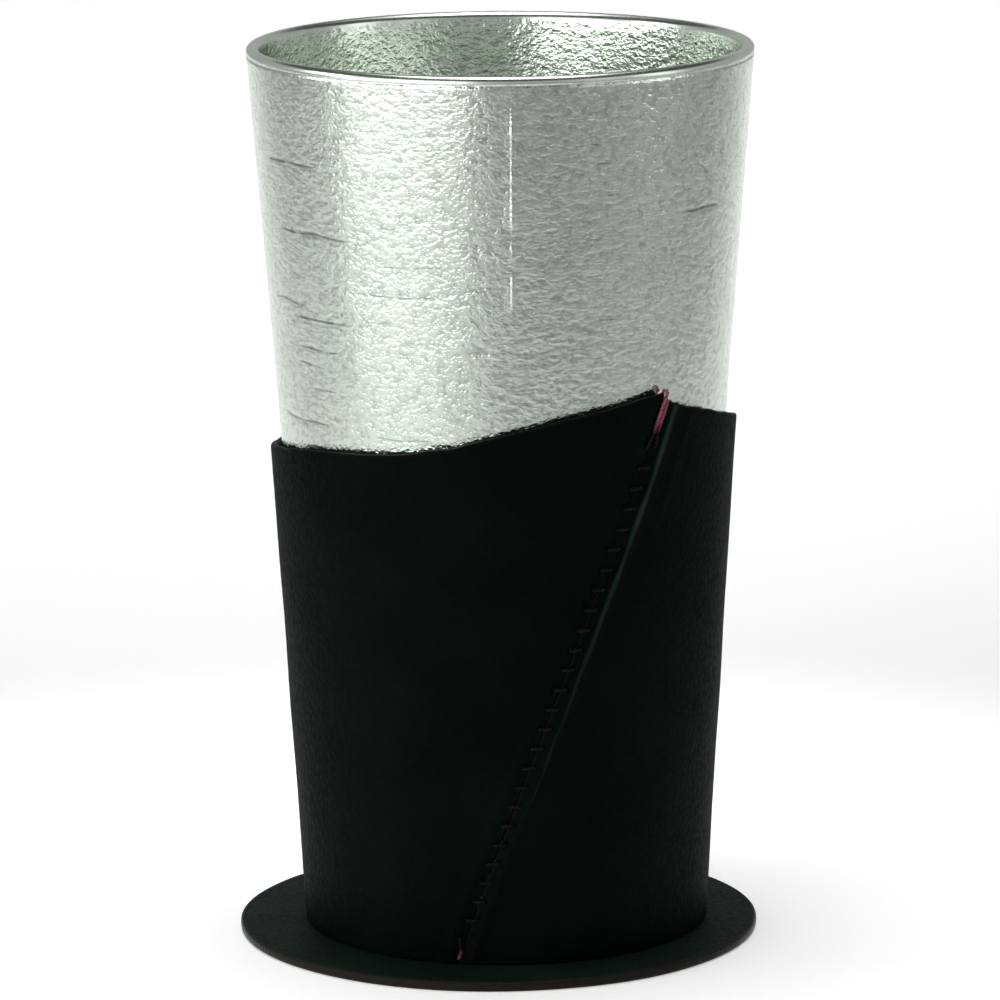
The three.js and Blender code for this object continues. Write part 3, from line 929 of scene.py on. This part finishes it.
# %% [markdown]
# ## Pale paper
#
# The floor and the round backdrop are one pale matt paper. It also glows a little, close to the cup
# and far away from it, but only for rays that come from the camera, from a reflection or through
# glass, so the background is white without more light on the object. Between the two the paper
# stays dim, and the metal mirrors that as its dark band. The glow adds nothing to the light that
# falls on the paper, so the object keeps its shadow there.

# %% Material for the paper
GLOW = 0.35
FAR_GLOW = 0.3
GLOW_FULL_TO = 0.1
GLOW_ENDS_AT = 0.2
GLOW_RETURNS_AT = 0.5
GLOW_FULL_FROM = 1.2

pale_paper = bpy.data.materials.new("pale_paper_matt")
pale_paper.use_nodes = True
paper = pale_paper.node_tree.nodes["Principled BSDF"]
paper.inputs["Base Color"].default_value = colour("FCFCFC")
paper.inputs["Roughness"].default_value = 0.9
paper.inputs["Specular IOR Level"].default_value = 0.1
paper.inputs["Emission Color"].default_value = colour("FFFFFF")
tree = pale_paper.node_tree
place = add_node(tree, "ShaderNodeTexCoord").outputs["Object"]
flat = add_node(tree, "ShaderNodeVectorMath", {"operation": "MULTIPLY"}, {0: place, 1: (1, 1, 0)}).outputs[0]
from_middle = add_node(tree, "ShaderNodeVectorMath", {"operation": "LENGTH"}, {0: flat}).outputs["Value"]
near = add_node(tree, "ShaderNodeMapRange", {"interpolation_type": "SMOOTHSTEP"}, {
    "Value": from_middle, "From Min": GLOW_FULL_TO, "From Max": GLOW_ENDS_AT,
    "To Min": GLOW, "To Max": 0}).outputs[0]
far = add_node(tree, "ShaderNodeMapRange", {"interpolation_type": "SMOOTHSTEP"}, {
    "Value": from_middle, "From Min": GLOW_RETURNS_AT, "From Max": GLOW_FULL_FROM,
    "To Min": 0, "To Max": FAR_GLOW}).outputs[0]
glow = add_node(tree, "ShaderNodeMath", {"operation": "ADD"}, {0: near, 1: far}).outputs[0]
ray = add_node(tree, "ShaderNodeLightPath").outputs
indirect = add_node(tree, "ShaderNodeMath", {"operation": "MAXIMUM"}, {
    0: ray["Is Glossy Ray"], 1: ray["Is Transmission Ray"]}).outputs[0]
seen = add_node(tree, "ShaderNodeMath", {"operation": "MAXIMUM"}, {
    0: ray["Is Camera Ray"], 1: indirect}).outputs[0]
seen_glow = add_node(tree, "ShaderNodeMath", {"operation": "MULTIPLY"}, {0: glow, 1: seen}).outputs[0]
tree.links.new(seen_glow, paper.inputs["Emission Strength"])
print("paper glows to", GLOW_ENDS_AT, "m from the middle and again from", GLOW_RETURNS_AT, "m")

# %% [markdown]
# ## Floor and backdrop
#
# The floor is a single flat face. The backdrop is an upright line with a curved foot, spun all the
# way round, because the cup is looked at from every side. It stands farther out than any camera
# does, so no view has its edge or its back in it.

# %% Floor and backdrop
FLOOR_HALF_WIDTH = 4
SWEEP_RADIUS = 3.4
SWEEP_ROUND = 0.8
SWEEP_HEIGHT = 2


def stage_piece(bm, name):
    """A smooth piece of the studio in pale paper, which isn't part of the object."""
    mesh = bpy.data.meshes.new(name)
    bm.to_mesh(mesh)
    bm.free()
    mesh.shade_smooth()
    mesh.materials.append(pale_paper)
    piece = bpy.data.objects.new(name, mesh)
    bpy.context.scene.collection.objects.link(piece)


floor = bmesh.new()
bmesh.ops.create_grid(floor, x_segments=1, y_segments=1, size=FLOOR_HALF_WIDTH)
stage_piece(floor, "pale_floor")

backdrop = bmesh.new()
foot = backdrop.verts.new((SWEEP_RADIUS - SWEEP_ROUND, 0, MM))
corner = backdrop.verts.new((SWEEP_RADIUS, 0, MM))
top = backdrop.verts.new((SWEEP_RADIUS, 0, SWEEP_HEIGHT))
for pair in ((foot, corner), (corner, top)):
    backdrop.edges.new(pair)
bmesh.ops.bevel(backdrop, geom=[corner], offset=SWEEP_ROUND * 0.98, segments=10, profile=0.5,
                affect="VERTICES", material=-1)
bmesh.ops.spin(backdrop, geom=backdrop.verts[:] + backdrop.edges[:], cent=(0, 0, 0), axis=(0, 0, 1),
               angle=math.tau, steps=96, use_merge=True)
stage_piece(backdrop, "curved_backdrop")
print("backdrop stands all round at", SWEEP_RADIUS, "m")

# %% [markdown]
# ## Standing softboxes
#
# Metal shows the room more than itself. The cup's wall leans out, so from the front it mirrors the
# floor before it and whatever stands low on either side. A bank of narrow softboxes on the left puts
# the bright band on the left of the wall and on the far side inside. Two on the right open the
# shadow side. They stand in a ring, so each is listed by its angle and distance.

# %% Standing softboxes
def softbox(name, place, aim, width, height, power, spread):
    """A rectangular studio light at a place, facing a point; spread is the angle of its grid in degrees."""
    data = bpy.data.lights.new(name, "AREA")
    data.shape = "RECTANGLE"
    data.size = width
    data.size_y = height
    data.energy = power
    data.spread = math.radians(spread)
    lamp = bpy.data.objects.new(name, data)
    bpy.context.scene.collection.objects.link(lamp)
    facing = (Vector(aim) - Vector(place)).to_track_quat("-Z", "Y")
    lamp.matrix_world = Matrix.Translation(place) @ facing.to_matrix().to_4x4()
    print(name, "of", width, "by", height, "m at", place)


# Name, angle round from the front with the left negative, distance, height, width and tallness
# in metres, and watts. All of them face the cup.
STANDING_SOFTBOXES = [
    ("left_front_low", -25, 0.7, 0.14, 0.24, 0.26, 0.45),
    ("left_front", -25, 0.7, 0.34, 0.24, 0.3, 0.25),
    ("left_low", -45, 0.7, 0.14, 0.24, 0.26, 0.55),
    ("left", -45, 0.7, 0.34, 0.24, 0.3, 0.25),
    ("left_side_low", -65, 0.7, 0.14, 0.24, 0.26, 0.55),
    ("left_back", -85, 0.7, 0.34, 0.24, 0.3, 0.75),
    ("right", 45, 0.8, 0.32, 0.3, 0.5, 0.15),
    ("right_side", 75, 0.8, 0.32, 0.3, 0.5, 0.5),
]
CUP_MIDDLE = (0, 0, 0.09)
OPEN_FACE = 180
for name, angle, distance, height, width, tallness, power in STANDING_SOFTBOXES:
    turn = math.radians(angle)
    stand = (distance * math.sin(turn), -distance * math.cos(turn), height)
    softbox(name, stand, CUP_MIDDLE, width, tallness, power, OPEN_FACE)

# %% [markdown]
# ## Hanging softboxes
#
# The others hang over the cup and behind it, for the lip, the floor and the backdrop, and a small one
# lights the floor on the left. A grid keeps most of them off what they aren't meant for. A dim world
# fills the rest, and the Standard view transform renders a colour about as it is written.

# %% Hanging softboxes and the world
# Name, place, the point that it faces, width and depth in metres, watts, and the angle of its grid.
HANGING_SOFTBOXES = [
    ("overhead", (0, 0.05, 0.9), (0, 0.05, 0), 0.6, 0.5, 0.7, 60),
    ("overhead_back", (0, 0.55, 1.3), (0, 0.2, 0), 1.2, 0.5, 0.5, OPEN_FACE),
    ("floor_behind", (0, 0.55, 0.9), (0, 0.55, 0), 0.8, 0.5, 1.1, 60),
    ("floor_left", (-0.24, -0.2, 0.6), (-0.21, -0.17, 0), 0.2, 0.2, 0.08, 40),
    ("backdrop_wash", (0, 1.0, 1.2), (0, 1.25, 0), 1.6, 0.5, 5, 110),
]
for lamp in HANGING_SOFTBOXES:
    softbox(*lamp)

world = bpy.data.worlds.new("dim_studio")
world.use_nodes = True
world.node_tree.nodes["Background"].inputs["Color"].default_value = colour("E4E8E8")
world.node_tree.nodes["Background"].inputs["Strength"].default_value = 0.06
bpy.context.scene.world = world
bpy.context.scene.view_settings.view_transform = "Standard"
